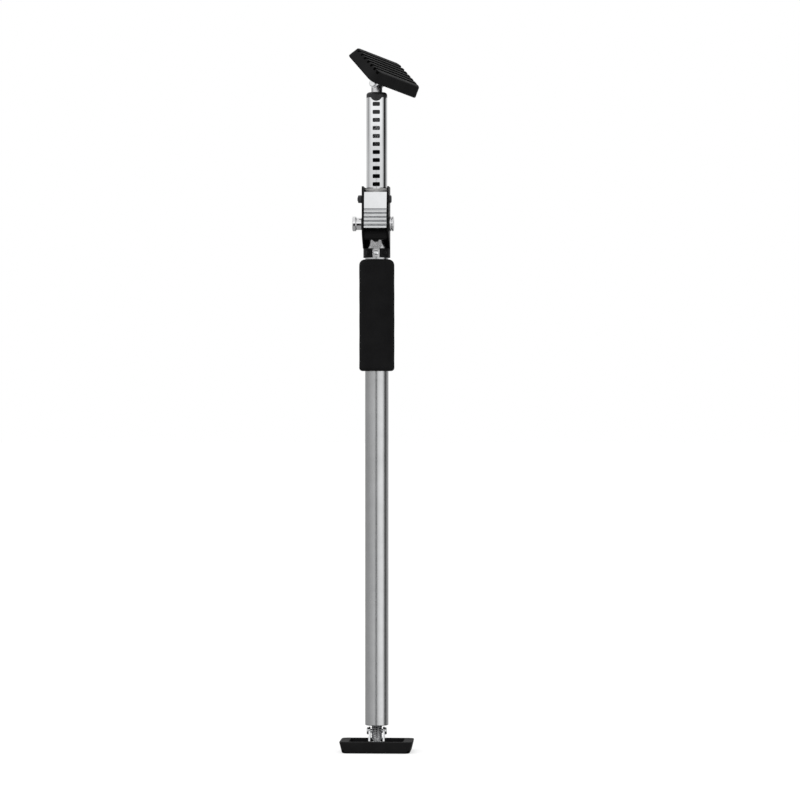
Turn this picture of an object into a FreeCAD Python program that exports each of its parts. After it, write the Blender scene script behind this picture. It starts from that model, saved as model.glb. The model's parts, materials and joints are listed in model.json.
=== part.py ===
import FreeCAD, Part
import math
import os
from FreeCAD import Vector

# Telescopic ceiling prop, in millimetres. +Z is up, the lever faces -Y, and the origin is on the
# floor, on the tube axis. "Front" distances (_F) are measured from the tube axis towards the lever.

# Clearances
FIT = 0.05             # pins in bores, sliding guides
SEAT = 0.02            # pieces of one body that rest on each other
FREE = 0.4             # pieces that pass each other

# Tubes
OUTER_R = 14.0
OUTER_WALL = 1.0
INNER_WALL = 1.5
TUBE_GAP = 0.5
OUTER_L = 639.1
MOUTH_H = 4.0
INNER_L = 557.0
INNER_OUT = 113.2      # inner tube's end over the outer tube's, as posed
GUIDE_PLUG_L = 14.0
GUIDE_COLLAR_L = 10.0
GUIDE_WALL = 2.5

# Row of slots in the inner tube
SLOT_PITCH = 9.6
SLOT_W = 8.8
SLOT_H = 4.9
SLOT_CORNER = 1.2
ROW_TOP_MARGIN = 6.8   # plain tube above the highest slot's middle, at least
ROW_LOW_MARGIN = 60.0  # plain tube below the lowest slot's middle, at least

# Foam grip
GRIP_R = 21.2
GRIP_L = 134.0
GRIP_GAP = 1.9         # bare tube between the housing and the grip
GRIP_TOP_ROUND = 6.0
GRIP_LOW_ROUND = 4.0

# Ratchet housing
SHEET = 2.0
HOUSING_FRONT_F = 33.0
HOUSING_RISE = 5.6     # housing's top over the outer tube's
HOUSING_H = 84.2
HOUSING_CORNER = 3.0
BAND_H = 11.0
BAND_OPENING = 10.0
CHEEK_RISE = 30.6      # cheeks' lower front corner over the housing's lower edge
RIVET_R = 2.0
RIVET_HEAD_R = 3.0
RIVET_HEAD_H = 1.2
RIVET_ANGLE = 38.0

# Pump lever and drive pawl
PIVOT_F = 25.0
PIVOT_DROP = 9.6       # lever's bolt under the outer tube's top
BOLT_R = 2.5
HEX_FLATS = 8.0
NUT_H = 4.8
HEAD_H = 2.8
LEVER_GAP = 0.8
LEVER_SHEET = 1.7
LEVER_TOP_F = 28.0
LEVER_LOW_F = 36.5
LEVER_RISE = 8.4       # lever's top over its bolt
LEVER_L = 43.8
RIDGE_COUNT = 5
RIDGE_PITCH = 4.76
RIDGE_RISE = 4.1       # lowest groove over the lever's lower edge
GROOVE_R = 1.5
GROOVE_DEPTH = 0.8
PAWL_PIN_R = 1.5
PAWL_PIN_F = 17.0
PAWL_PIN_RISE = 3.5    # pawl pin over the lever's bolt
DRIVE_DROP = 13.6      # slot that the drive pawl meets, under its pin
PAWL_EYE_R = 3.2
PAWL_LIFT_ANGLE = 10.0 # degrees that the drive pawl stands off its slot
NOSE_REACH = 1.6       # depth of a pawl nose below the inner tube's surface
SPRING_WIRE_R = 0.4
SPRING_COIL_R = 2.4
SPRING_TURNS = 3

# Release axle, holding pawl and thumb tab
AXLE_F = 21.0
AXLE_R = 3.2
HOLD_RISE = 9.6        # slot that the holding pawl meets, over the axle
HOLD_LIFT_ANGLE = 12.0 # degrees that the holding pawl stands off its slot
HUB_R = 5.5
HUB_HALF = 5.0
KNOB_FLANGE_R = 8.8
KNOB_BODY_R = 7.0
KNOB_LEFT_L = 11.6
KNOB_FLANGE_L = 4.4
KNOB_RIGHT_L = 5.4
TAB_DROP = 6.4         # tab's upper edge under the axle
TAB_H = 12.4
TAB_BACK_F = 19.6
TAB_FRONT_F = 27.6
TONGUE_W = 8.4
TONGUE_DROP = 2.8

# Leaf spring under the thumb tab
LEAF_T = 0.8
LEAF_RISE = 1.5        # leaf's lower end over the housing's lower edge
LEAF_FLAT = 8.0
LEAF_H = 19.1
LEAF_TOP_F = 17.2
LEAF_BASE_W = 8.4
LEAF_HEAD_W = 14.2

# Swivel pads
PAD_T = 14.2
RIM_L = 88.0
RIM_W = 57.0
FACE_L = 81.2
FACE_W = 51.4
PAD_CORNER = 6.5
RIM_END_WALL = 11.5
RIM_SIDE_WALL = 4.5
TRAY_FLOOR = 7.0
RIB_COUNT = 7
GROOVE_W = 3.0
GROOVE_H = 3.0
PLATE_T = 2.0
PIN_HEIGHT = 25.0      # pivot pin over the gripping face
PIN_R = 2.5
PIN_HEAD_R = 4.2
PIN_HEAD_T = 2.4
EAR_GAP = 15.2
EAR_T = 2.0
EAR_R = 5.0
EAR_BASE_W = 18.0
BOSS_R = 3.4
BOSS_HEAD_R = 5.6
STUD_R = 6.7
STUD_DEPTH = 22.0
PLUG_L = 26.0
FOOT_NECK = 7.1        # outer tube's end over the foot's pivot pin

# Head end cap and the head pad's attitude
CAP_H = 6.6            # cap over the inner tube's end
CAP_ROUND = 3.5
CAP_TONGUE_R = 7.2
CAP_TONGUE_DROP = 4.4
CAP_PLUG_L = 21.4
HEAD_NECK = 10.4       # head's pivot pin over the cap
HEAD_YAW_ANGLE = 64.6  # pivot pin's direction, from +X
HEAD_TILT_ANGLE = 41.2
HEAD_SPIN_ANGLE = -15.3

# Sizes that follow
OUTER_BORE_R = OUTER_R - OUTER_WALL
INNER_R = OUTER_BORE_R - TUBE_GAP
INNER_BORE_R = INNER_R - INNER_WALL
HOUSING_IN = OUTER_R + 0.2
HOUSING_OUT = HOUSING_IN + SHEET
LEVER_HALF = HOUSING_IN - LEVER_GAP
TRAY_L = RIM_L - 2 * RIM_END_WALL
TRAY_W = RIM_W - 2 * RIM_SIDE_WALL
NOSE_HALF = SLOT_W / 2 - 0.6
WINDOW_HALF = NOSE_HALF + 3.7
OUTER_LOW_Z = PIN_HEIGHT + FOOT_NECK
OUTER_TOP_Z = OUTER_LOW_Z + OUTER_L
INNER_TOP_Z = OUTER_TOP_Z + INNER_OUT
INNER_LOW_Z = INNER_TOP_Z - INNER_L
HOUSING_TOP_Z = OUTER_TOP_Z + HOUSING_RISE
HOUSING_LOW_Z = HOUSING_TOP_Z - HOUSING_H
CHEEK_LOW_Z = HOUSING_LOW_Z + CHEEK_RISE
GRIP_TOP_Z = HOUSING_LOW_Z - GRIP_GAP
GRIP_LOW_Z = GRIP_TOP_Z - GRIP_L
PIVOT_Z = OUTER_TOP_Z - PIVOT_DROP
LEVER_TOP_Z = PIVOT_Z + LEVER_RISE
LEVER_LOW_Z = LEVER_TOP_Z - LEVER_L
RIDGE_LOW_Z = LEVER_LOW_Z + RIDGE_RISE
PAWL_PIN_Z = PIVOT_Z + PAWL_PIN_RISE
DRIVE_Z = PAWL_PIN_Z - DRIVE_DROP
HOLD_Z = DRIVE_Z - SLOT_PITCH
AXLE_Z = HOLD_Z - HOLD_RISE
TAB_TOP_Z = AXLE_Z - TAB_DROP
TAB_LOW_Z = TAB_TOP_Z - TAB_H
LEAF_LOW_Z = HOUSING_LOW_Z + LEAF_RISE
LEAF_BEND_Z = LEAF_LOW_Z + LEAF_FLAT
LEAF_TOP_Z = LEAF_LOW_Z + LEAF_H
CAP_TOP_Z = INNER_TOP_Z + CAP_H
CAP_TONGUE_LOW_Z = INNER_TOP_Z - CAP_TONGUE_DROP
CAP_PLUG_LOW_Z = INNER_TOP_Z - CAP_PLUG_L
HEAD_PIN_Z = CAP_TOP_Z + HEAD_NECK

X = Vector(1, 0, 0)
Z = Vector(0, 0, 1)


def rod(radius, start, end):
    """Round bar between two points."""
    line = end - start
    return Part.makeCylinder(radius, line.Length, start, line)


def tube(outer, inner, low, high):
    """Upright tube on the Z axis."""
    wall = rod(outer, Vector(0, 0, low), Vector(0, 0, high))
    return wall.cut(rod(inner, Vector(0, 0, low - 1), Vector(0, 0, high + 1)))


def across(radius, front, height, left, right):
    """Round bar along X at a front distance and a height."""
    return rod(radius, Vector(left, -front, height), Vector(right, -front, height))


def side_plate(points, left, right):
    """Flat piece cut to an outline of (front, height) points, standing from left to right."""
    corners = [Vector(left, -front, height) for front, height in points]
    outline = Part.makePolygon(corners + corners[:1])
    return Part.Face(outline).extrude(X * (right - left))


def rounded_outline(length, width, radius, height):
    """Rounded rectangle about the Z axis."""
    half_l = length / 2
    half_w = width / 2
    edges = []
    for turn in range(4):
        sign_x = (1, -1, -1, 1)[turn]
        sign_y = (1, 1, -1, -1)[turn]
        centre = Vector(sign_x * (half_l - radius), sign_y * (half_w - radius), height)
        edges.append(Part.makeCircle(radius, centre, Z, 90 * turn, 90 * turn + 90))
    corners = []
    for here, following in zip(edges, edges[1:] + edges[:1]):
        corners.append(here)
        start = here.valueAt(here.LastParameter)
        end = following.valueAt(following.FirstParameter)
        corners.append(Part.makeLine(start, end))
    return Part.Wire(corners)


def slab(length, width, radius, low, high):
    """Upright block with a rounded rectangular outline."""
    return Part.Face(rounded_outline(length, width, radius, low)).extrude(Z * (high - low))


def turned(profile):
    """Solid turned about the Z axis from (radius, height) points."""
    points = [Vector(radius, 0, height) for radius, height in profile]
    return Part.Face(Part.makePolygon(points + points[:1])).revolve(Vector(0, 0, 0), Z, 360)


def hexagon(front, height, left, right):
    """Hexagon bar along X."""
    reach = HEX_FLATS / math.sqrt(3)
    points = []
    for corner in range(6):
        angle = math.radians(60 * corner + 30)
        points.append((front + reach * math.cos(angle), height + reach * math.sin(angle)))
    return side_plate(points, left, right)


def rounded_rim(shape, height, radius, size):
    """Rounds the circular edges of one radius at one height."""
    rims = []
    for edge in shape.Edges:
        ring = isinstance(edge.Curve, Part.Circle)
        if ring and abs(edge.Curve.Radius - radius) < 1e-6 and abs(edge.CenterOfMass.z - height) < 1e-6:
            rims.append(edge)
    return shape.makeFillet(size, rims)


def dome_rivet(centre, out, length):
    """Rivet with a low domed head; centre is under the head, out points away from the shank."""
    dome_r = (RIVET_HEAD_R ** 2 + RIVET_HEAD_H ** 2) / (2 * RIVET_HEAD_H)
    ball = Part.makeSphere(dome_r, centre + out * (RIVET_HEAD_H - dome_r))
    head = ball.common(rod(RIVET_HEAD_R, centre, centre + out * RIVET_HEAD_H))
    return head.fuse(rod(RIVET_R, centre - out * length, centre)).removeSplitter()


# Tubes and grip

def slot_cutter(height):
    outline = rounded_outline(SLOT_W, SLOT_H, SLOT_CORNER, 0)
    cutter = Part.Face(outline).extrude(Z * INNER_R)
    cutter.rotate(Vector(0, 0, 0), X, 90)
    cutter.translate(Vector(0, -INNER_R / 2, height))
    return cutter


def cap_tongue(radius):
    """Round bar through the tube's end that shapes the end cap's front and back tongues."""
    height = CAP_TONGUE_LOW_Z + CAP_TONGUE_R
    return rod(radius, Vector(0, -INNER_R - 1, height), Vector(0, INNER_R + 1, height))


def slot_heights():
    """Middles of the slots: as many as the tube takes above and below the drive pawl."""
    above = int((INNER_TOP_Z - ROW_TOP_MARGIN - DRIVE_Z) // SLOT_PITCH)
    below = int((DRIVE_Z - ROW_LOW_MARGIN - INNER_LOW_Z) // SLOT_PITCH)
    return [DRIVE_Z + index * SLOT_PITCH for index in range(-below, above + 1)]


def inner_tube():
    wall = tube(INNER_R, INNER_BORE_R, INNER_LOW_Z, INNER_TOP_Z)
    slots = [slot_cutter(height) for height in slot_heights()]
    return wall.cut(slots + [cap_tongue(CAP_TONGUE_R + SEAT)])


def outer_tube():
    wall = tube(OUTER_R, OUTER_BORE_R, OUTER_LOW_Z, OUTER_TOP_Z)
    low = AXLE_Z - 2
    high = PAWL_PIN_Z + PAWL_EYE_R + FREE
    window = Part.makeBox(2 * WINDOW_HALF, OUTER_R, high - low, Vector(-WINDOW_HALF, -2 * OUTER_R + 4, low))
    fixing = rod(RIVET_R + FIT, Vector(0, -OUTER_R - 1, rivet_height()), Vector(0, 0, rivet_height()))
    holes = [rivet_bore(angle) for angle in rivet_angles()]
    wall = wall.cut([window, fixing] + holes)
    return rounded_rim(wall, OUTER_LOW_Z, OUTER_R, OUTER_WALL * 0.9)


def mouth_bush():
    """Ring on the outer tube's mouth that guides the inner tube."""
    bore = INNER_R + FIT
    chamfer = 0.9
    top = OUTER_TOP_Z + SEAT + MOUTH_H
    spigot = OUTER_BORE_R - FIT
    return turned([
        (bore, OUTER_TOP_Z - 3.6),
        (spigot, OUTER_TOP_Z - 3.6),
        (spigot, OUTER_TOP_Z + SEAT),
        (OUTER_R, OUTER_TOP_Z + SEAT),
        (OUTER_R, top - chamfer),
        (OUTER_R - chamfer, top),
        (bore, top),
    ])


def guide_bush():
    """Plug in the inner tube's lower end with a collar that runs in the outer tube."""
    plug = INNER_BORE_R - FIT
    collar = OUTER_BORE_R - FIT
    low = INNER_LOW_Z - GUIDE_COLLAR_L
    return turned([
        (plug - GUIDE_WALL, low),
        (collar - 1, low),
        (collar, low + 1),
        (collar, INNER_LOW_Z - SEAT),
        (plug, INNER_LOW_Z - SEAT),
        (plug, INNER_LOW_Z + GUIDE_PLUG_L),
        (plug - GUIDE_WALL, INNER_LOW_Z + GUIDE_PLUG_L),
    ])


def foam_grip():
    sleeve = tube(GRIP_R, OUTER_R + SEAT, GRIP_LOW_Z, GRIP_TOP_Z)
    sleeve = rounded_rim(sleeve, GRIP_TOP_Z, GRIP_R, GRIP_TOP_ROUND)
    return rounded_rim(sleeve, GRIP_LOW_Z, GRIP_R, GRIP_LOW_ROUND)


# Ratchet housing

def u_block(half, front):
    """Block with a half-round back about the tube and straight sides to the front."""
    right = Part.makeLine(Vector(half, -front, 0), Vector(half, 0, 0))
    back = Part.Arc(Vector(half, 0, 0), Vector(0, half, 0), Vector(-half, 0, 0)).toShape()
    left = Part.makeLine(Vector(-half, 0, 0), Vector(-half, -front, 0))
    mouth = Part.makeLine(Vector(-half, -front, 0), Vector(half, -front, 0))
    block = Part.Face(Part.Wire([right, back, left, mouth])).extrude(Z * (HOUSING_TOP_Z - HOUSING_LOW_Z))
    block.translate(Z * HOUSING_LOW_Z)
    return block


def rivet_angles():
    return (-RIVET_ANGLE, RIVET_ANGLE, 180 - RIVET_ANGLE, 180 + RIVET_ANGLE)


def rivet_height():
    return HOUSING_LOW_Z + BAND_H / 2


def rivet_way(angle):
    """Direction of a band rivet, turned from the front."""
    return Vector(math.sin(math.radians(angle)), -math.cos(math.radians(angle)), 0)


def rivet_bore(angle):
    out = rivet_way(angle)
    return rod(RIVET_R + FIT, Z * rivet_height() + out * INNER_R, Z * rivet_height() + out * HOUSING_OUT)


def housing():
    """Black sheet bracket: two cheeks, a half-round back and a band round the outer tube."""
    band_top = HOUSING_LOW_Z + BAND_H
    shell = u_block(HOUSING_OUT, HOUSING_FRONT_F).cut(u_block(HOUSING_IN, HOUSING_FRONT_F + 1))
    cut = HOUSING_CORNER * (1 - math.sqrt(0.5))
    outline = [
        (-HOUSING_OUT - 1, HOUSING_LOW_Z),
        (-HOUSING_OUT - 1, HOUSING_TOP_Z),
        (HOUSING_FRONT_F - HOUSING_CORNER, HOUSING_TOP_Z),
        (HOUSING_FRONT_F - cut, HOUSING_TOP_Z - cut),
        (HOUSING_FRONT_F, HOUSING_TOP_Z - HOUSING_CORNER),
        (HOUSING_FRONT_F, CHEEK_LOW_Z),
        (HOUSING_FRONT_F - 4, CHEEK_LOW_Z - 6),
        (HOUSING_OUT * 0.6, band_top),
        (0, band_top),
        (0, HOUSING_LOW_Z),
    ]
    shell = shell.common(side_plate(outline, -HOUSING_OUT - 1, HOUSING_OUT + 1))
    opening = Part.makeBox(BAND_OPENING, HOUSING_OUT, BAND_H + 2)
    opening.translate(Vector(-BAND_OPENING / 2, -HOUSING_OUT - 1, HOUSING_LOW_Z - 1))
    band = tube(HOUSING_OUT, HOUSING_IN, HOUSING_LOW_Z, band_top).cut(opening)
    reach = HOUSING_OUT + 1
    bores = [
        across(BOLT_R + SEAT, PIVOT_F, PIVOT_Z, -reach, reach),
        across(AXLE_R + FIT, AXLE_F, AXLE_Z, -reach, reach),
    ]
    bores += [rivet_bore(angle) for angle in rivet_angles()]
    return shell.fuse(band).removeSplitter().cut(bores)


def housing_rivets():
    """Rivets through the band and the outer tube's wall."""
    rivets = []
    for angle in rivet_angles():
        out = rivet_way(angle)
        centre = Z * rivet_height() + out * (HOUSING_OUT + SEAT)
        rivets.append(dome_rivet(centre, out, HOUSING_OUT - OUTER_BORE_R))
    return Part.makeCompound(rivets)


def lever_bolt():
    shank = across(BOLT_R, PIVOT_F, PIVOT_Z, -HOUSING_OUT - NUT_H - 0.6, HOUSING_OUT + SEAT)
    head = hexagon(PIVOT_F, PIVOT_Z, HOUSING_OUT + SEAT, HOUSING_OUT + SEAT + HEAD_H)
    return shank.fuse(head).removeSplitter()


def lever_nut():
    nut = hexagon(PIVOT_F, PIVOT_Z, -HOUSING_OUT - SEAT - NUT_H, -HOUSING_OUT - SEAT)
    return nut.cut(across(BOLT_R + SEAT, PIVOT_F, PIVOT_Z, -HOUSING_OUT - 2 * NUT_H, 0))


# Pump lever and drive pawl

def lever_face(height, inset):
    """Front distance of the lever's sloping face at a height, less an inset."""
    share = (LEVER_TOP_Z - height) / (LEVER_TOP_Z - LEVER_LOW_Z)
    return LEVER_TOP_F + share * (LEVER_LOW_F - LEVER_TOP_F) - inset


def pump_lever():
    """Channel-shaped lever with finger grooves across its lower half."""
    face = side_plate([
        (lever_face(LEVER_TOP_Z, 0), LEVER_TOP_Z),
        (lever_face(LEVER_LOW_Z, 0), LEVER_LOW_Z),
        (lever_face(LEVER_LOW_Z, LEVER_SHEET), LEVER_LOW_Z),
        (lever_face(LEVER_TOP_Z, LEVER_SHEET), LEVER_TOP_Z),
    ], -LEVER_HALF, LEVER_HALF)
    flank = [
        (lever_face(LEVER_TOP_Z, 0), LEVER_TOP_Z),
        (lever_face(LEVER_LOW_Z, 0), LEVER_LOW_Z),
        (lever_face(LEVER_LOW_Z, 5), LEVER_LOW_Z),
        (lever_face(AXLE_Z + 8, 6), AXLE_Z + 8),
        (PIVOT_F - BOLT_R - 2.5, PIVOT_Z - 8),
        (PAWL_PIN_F - 3, PAWL_PIN_Z - 3),
        (PAWL_PIN_F - 3, LEVER_TOP_Z - 1.5),
        (PAWL_PIN_F - 1.5, LEVER_TOP_Z),
    ]
    left = side_plate(flank, -LEVER_HALF, -LEVER_HALF + LEVER_SHEET)
    right = side_plate(flank, LEVER_HALF - LEVER_SHEET, LEVER_HALF)
    lever = face.fuse([left, right]).removeSplitter()
    cuts = [
        across(BOLT_R + FIT, PIVOT_F, PIVOT_Z, -LEVER_HALF - 1, LEVER_HALF + 1),
        across(PAWL_PIN_R + SEAT, PAWL_PIN_F, PAWL_PIN_Z, -LEVER_HALF - 1, LEVER_HALF + 1),
    ]
    for index in range(RIDGE_COUNT):
        height = RIDGE_LOW_Z + index * RIDGE_PITCH
        front = lever_face(height, GROOVE_DEPTH - GROOVE_R)
        cuts.append(across(GROOVE_R, front, height, -LEVER_HALF - 1, LEVER_HALF + 1))
    return lever.cut(cuts)


def pawl_pin():
    return across(PAWL_PIN_R, PAWL_PIN_F, PAWL_PIN_Z, -LEVER_HALF, LEVER_HALF)


def drive_pawl():
    """Hook that hangs from the pawl pin, built in its slot and then swung clear of it."""
    back = INNER_R + FREE
    tip = INNER_R - NOSE_REACH
    hook = side_plate([
        (PAWL_PIN_F - PAWL_EYE_R, PAWL_PIN_Z),
        (back, PAWL_PIN_Z - 5),
        (back, DRIVE_Z + 1.5),
        (tip, DRIVE_Z + 1.5),
        (tip, DRIVE_Z - 0.4),
        (back + 0.8, DRIVE_Z - 3.0),
        (back + 5.0, DRIVE_Z - 3.0),
        (PAWL_PIN_F + PAWL_EYE_R, PAWL_PIN_Z),
    ], -NOSE_HALF, NOSE_HALF)
    eye = across(PAWL_EYE_R, PAWL_PIN_F, PAWL_PIN_Z, -NOSE_HALF, NOSE_HALF)
    bore = across(PAWL_PIN_R + FIT, PAWL_PIN_F, PAWL_PIN_Z, -NOSE_HALF - 1, NOSE_HALF + 1)
    pawl = hook.fuse(eye).removeSplitter().cut(bore)
    pawl.rotate(Vector(0, -PAWL_PIN_F, PAWL_PIN_Z), X, -PAWL_LIFT_ANGLE)
    return pawl


def pawl_spring():
    """Torsion spring round the pawl pin, beside the pawl."""
    pitch = 2.2 * SPRING_WIRE_R
    coil = Part.makeHelix(pitch, pitch * SPRING_TURNS, SPRING_COIL_R)
    section = Part.Wire(Part.makeCircle(SPRING_WIRE_R, Vector(SPRING_COIL_R, 0, 0), Vector(0, 1, 0)))
    spring = Part.Wire(coil.Edges).makePipeShell([section], True, True)
    spring.rotate(Vector(0, 0, 0), Vector(0, 1, 0), 90)
    spring.translate(Vector(NOSE_HALF + 3 * SPRING_WIRE_R, -PAWL_PIN_F, PAWL_PIN_Z))
    return spring


# Release axle

def release_axle():
    return across(AXLE_R, AXLE_F, AXLE_Z, -HOUSING_OUT - KNOB_LEFT_L + 1, HOUSING_OUT + KNOB_RIGHT_L - 1)


def knob(profile, side):
    """Round knob on the axle's end, turned from (radius, distance) points and bored for the axle."""
    body = turned(profile)
    body = body.cut(rod(AXLE_R + SEAT, Vector(0, 0, -1), Vector(0, 0, profile[-1][1] - 1)))
    body.rotate(Vector(0, 0, 0), Vector(0, 1, 0), 90 * side)
    body.translate(Vector(side * (HOUSING_OUT + FREE), -AXLE_F, AXLE_Z))
    return body


def knob_left():
    """Long knob with an end flange."""
    length = KNOB_LEFT_L - FREE
    neck = length - KNOB_FLANGE_L
    return knob([
        (0, 0),
        (KNOB_BODY_R, 0),
        (KNOB_BODY_R, neck),
        (KNOB_FLANGE_R, neck + 0.6),
        (KNOB_FLANGE_R, length - 0.8),
        (KNOB_FLANGE_R - 0.8, length),
        (0, length),
    ], -1)


def knob_right():
    """Short knob of two discs with a groove between them."""
    length = KNOB_RIGHT_L - FREE
    disc = 0.42 * length
    return knob([
        (0, 0),
        (KNOB_FLANGE_R, 0),
        (KNOB_FLANGE_R, disc),
        (KNOB_BODY_R, disc + 0.4),
        (KNOB_BODY_R, length - disc - 0.4),
        (KNOB_FLANGE_R, length - disc),
        (KNOB_FLANGE_R, length - 0.8),
        (KNOB_FLANGE_R - 0.8, length),
        (0, length),
    ], 1)


def holding_pawl():
    """Strut that leans up from the axle, built in its slot and then swung clear of it."""
    back = INNER_R + FREE
    tip = INNER_R - NOSE_REACH
    strut = side_plate([
        (tip, HOLD_Z + 0.8),
        (back + 1.6, HOLD_Z + 0.8),
        (AXLE_F + HUB_R * 0.75, AXLE_Z + HUB_R * 0.66),
        (AXLE_F - HUB_R * 0.9, AXLE_Z - HUB_R * 0.4),
        (back + 1.4, HOLD_Z - 5.6),
        (back + 0.3, HOLD_Z - 2.4),
        (tip, HOLD_Z - 1.2),
    ], -NOSE_HALF, NOSE_HALF)
    hub = across(HUB_R, AXLE_F, AXLE_Z, -HUB_HALF, HUB_HALF)
    pawl = strut.fuse(hub).removeSplitter()
    pawl = pawl.cut(across(AXLE_R + SEAT, AXLE_F, AXLE_Z, -HUB_HALF - 1, HUB_HALF + 1))
    pawl.rotate(Vector(0, -AXLE_F, AXLE_Z), X, HOLD_LIFT_ANGLE)
    return pawl


def release_tab():
    """Thumb tab under the lever, carried on the axle by two eyes."""
    half = LEVER_HALF
    middle = (TAB_LOW_Z + TAB_TOP_Z) / 2
    block = side_plate([
        (TAB_BACK_F, TAB_LOW_Z),
        (TAB_FRONT_F - 1.5, TAB_LOW_Z),
        (TAB_FRONT_F, TAB_LOW_Z + 1.5),
        (TAB_FRONT_F, middle),
        (TAB_FRONT_F - 1.5, TAB_TOP_Z),
        (TAB_BACK_F - 1.5, TAB_TOP_Z),
    ], -half, half)
    arm = [
        (AXLE_F - HUB_R + 1, AXLE_Z),
        (TAB_BACK_F - 1.5, TAB_TOP_Z),
        (TAB_BACK_F - 1, TAB_TOP_Z - 4),
        (TAB_FRONT_F - 1.5, TAB_TOP_Z - 1),
        (AXLE_F + HUB_R - 0.5, AXLE_Z),
    ]
    inside = HUB_HALF + FREE
    solids = [rod(TONGUE_W / 2, Vector(0, -TAB_BACK_F, tongue_z()), Vector(0, 3 - TAB_FRONT_F, tongue_z()))]
    for left, right in ((-half, -inside), (inside, half)):
        solids.append(side_plate(arm, left, right))
        solids.append(across(HUB_R, AXLE_F, AXLE_Z, left, right))
    tab = block.fuse(solids).removeSplitter()
    return tab.cut(across(AXLE_R + SEAT, AXLE_F, AXLE_Z, -half - 1, half + 1))


def tongue_z():
    """Centre of the tab's half-round lower tongue."""
    return TAB_LOW_Z - TONGUE_DROP + TONGUE_W / 2


# Leaf spring

def leaf_spring():
    """Flat spring riveted to the outer tube, bent out towards the thumb tab."""
    seat = OUTER_R + SEAT
    bent = side_plate([
        (seat, LEAF_LOW_Z),
        (seat + LEAF_T, LEAF_LOW_Z),
        (seat + LEAF_T, LEAF_BEND_Z),
        (LEAF_TOP_F + LEAF_T, LEAF_TOP_Z),
        (LEAF_TOP_F, LEAF_TOP_Z),
        (seat, LEAF_BEND_Z),
    ], -LEAF_HEAD_W / 2, LEAF_HEAD_W / 2)
    base = LEAF_BASE_W / 2
    head = LEAF_HEAD_W / 2
    corners = [
        Vector(-base, 0, LEAF_LOW_Z),
        Vector(base, 0, LEAF_LOW_Z),
        Vector(base, 0, LEAF_BEND_Z + 1),
        Vector(head, 0, LEAF_BEND_Z + 4),
        Vector(head - 1, 0, LEAF_TOP_Z),
        Vector(-head + 1, 0, LEAF_TOP_Z),
        Vector(-head, 0, LEAF_BEND_Z + 4),
        Vector(-base, 0, LEAF_BEND_Z + 1),
    ]
    outline = Part.Face(Part.makePolygon(corners + corners[:1])).extrude(Vector(0, -2 * LEAF_TOP_F, 0))
    bore = rod(RIVET_R + FIT, Vector(0, -2 * OUTER_R, rivet_height()), Vector(0, 0, rivet_height()))
    return bent.common(outline).cut(bore)


def spring_rivet():
    front = OUTER_R + LEAF_T + 2 * SEAT
    return dome_rivet(Vector(0, -front, rivet_height()), Vector(0, -1, 0), front - OUTER_BORE_R)


# Swivel pads, built standing on the floor

def pad_body():
    """Tapered rubber pad: ribs along its gripping face, an open tray in its back."""
    face = rounded_outline(FACE_L, FACE_W, PAD_CORNER, 0)
    rim = rounded_outline(RIM_L, RIM_W, PAD_CORNER + 1, PAD_T)
    pad = Part.makeLoft([face, rim], True)
    tray = slab(TRAY_L, TRAY_W, PAD_CORNER - 2, TRAY_FLOOR, PAD_T + 1)
    pocket = rod(BOSS_HEAD_R + FREE, Vector(0, 0, TRAY_FLOOR - 2.4), Vector(0, 0, TRAY_FLOOR + 1))
    pitch = FACE_W / RIB_COUNT
    grooves = []
    for index in range(1, RIB_COUNT):
        front = -FACE_W / 2 + index * pitch - GROOVE_W / 2
        grooves.append(Part.makeBox(RIM_L, GROOVE_W, GROOVE_H + 1, Vector(-RIM_L / 2, front, -1)))
    return pad.cut(grooves + [tray, pocket])


def pad_plate():
    """Steel plate in the pad's tray."""
    low = TRAY_FLOOR + SEAT
    plate = slab(TRAY_L - 1, TRAY_W - 1, PAD_CORNER - 2.5, low, low + PLATE_T)
    return plate.cut(rod(BOSS_R + FIT, Vector(0, 0, 0), Vector(0, 0, PAD_T)))


def bracket_base():
    return TRAY_FLOOR + SEAT + PLATE_T + 0.3


def pad_bracket():
    """U-bracket with two ears for the pivot pin."""
    half = EAR_GAP / 2 + EAR_T
    low = bracket_base()
    bracket = slab(2 * half, EAR_BASE_W, 1, low, low + EAR_T)
    shoulder = low + 4
    ear = [
        (-EAR_BASE_W / 2, low),
        (-EAR_BASE_W / 2, shoulder),
        (-EAR_R, PIN_HEIGHT),
        (EAR_R, PIN_HEIGHT),
        (EAR_BASE_W / 2, shoulder),
        (EAR_BASE_W / 2, low),
    ]
    for left, right in ((-half, -EAR_GAP / 2), (EAR_GAP / 2, half)):
        bracket = bracket.fuse([side_plate(ear, left, right), across(EAR_R, 0, PIN_HEIGHT, left, right)])
    bores = [
        across(PIN_R + SEAT, 0, PIN_HEIGHT, -half - 1, half + 1),
        rod(BOSS_R + SEAT, Vector(0, 0, low - 1), Vector(0, 0, low + EAR_T + 1)),
    ]
    return bracket.removeSplitter().cut(bores)


def pad_rivet():
    """Rivet that holds the bracket on the pad's plate and lets the pad turn."""
    top = bracket_base() + EAR_T + SEAT
    low = TRAY_FLOOR - 0.3
    return turned([
        (0, low - 1.7),
        (BOSS_HEAD_R, low - 1.7),
        (BOSS_HEAD_R, low),
        (BOSS_R, low),
        (BOSS_R, top),
        (BOSS_HEAD_R, top),
        (BOSS_HEAD_R - 1.6, top + 1.8),
        (0, top + 1.8),
    ])


def pivot_pin():
    """Riveted pin with a flat head at each end."""
    half = EAR_GAP / 2 + EAR_T + SEAT
    pin = across(PIN_R, 0, PIN_HEIGHT, -half, half)
    heads = [
        across(PIN_HEAD_R, 0, PIN_HEIGHT, -half - PIN_HEAD_T, -half),
        across(PIN_HEAD_R, 0, PIN_HEIGHT, half, half + PIN_HEAD_T),
    ]
    return pin.fuse(heads).removeSplitter()


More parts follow.
